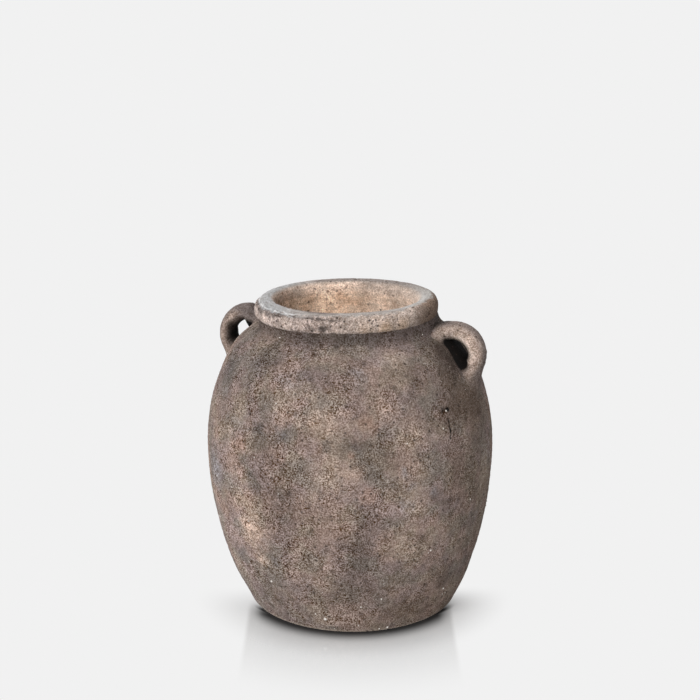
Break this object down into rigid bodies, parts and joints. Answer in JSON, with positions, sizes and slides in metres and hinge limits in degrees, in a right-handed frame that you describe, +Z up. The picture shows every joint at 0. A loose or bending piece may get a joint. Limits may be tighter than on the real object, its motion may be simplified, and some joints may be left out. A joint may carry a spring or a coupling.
{
  "type": "two-handled clay jar",
  "caption": "Round-bellied fired clay jar with a wide mouth, a rolled rim and small looped lug handles on its shoulder, standing on a flat foot ring.",
  "frame": {"origin": "centre of the foot, on the surface that the jar stands on", "axes": "+Z up along the jar's axis, +X through the middle of the right handle and -X through the middle of the left one"},
  "size_m": [0.28, 0.28, 0.3018],
  "materials": {
    "body_clay": "coarse matte, weathered",
    "floor_clay": "coarse matte",
    "rim_clay": "worn smooth, matte",
    "handle_clay": "hand-smoothed, matte"
  },
  "bodies": {
    "root": {"wall": "body_clay", "floor": "floor_clay", "rim": "rim_clay", "handle_right": "handle_clay", "handle_left": "handle_clay"}
  },
  "joints": []
}
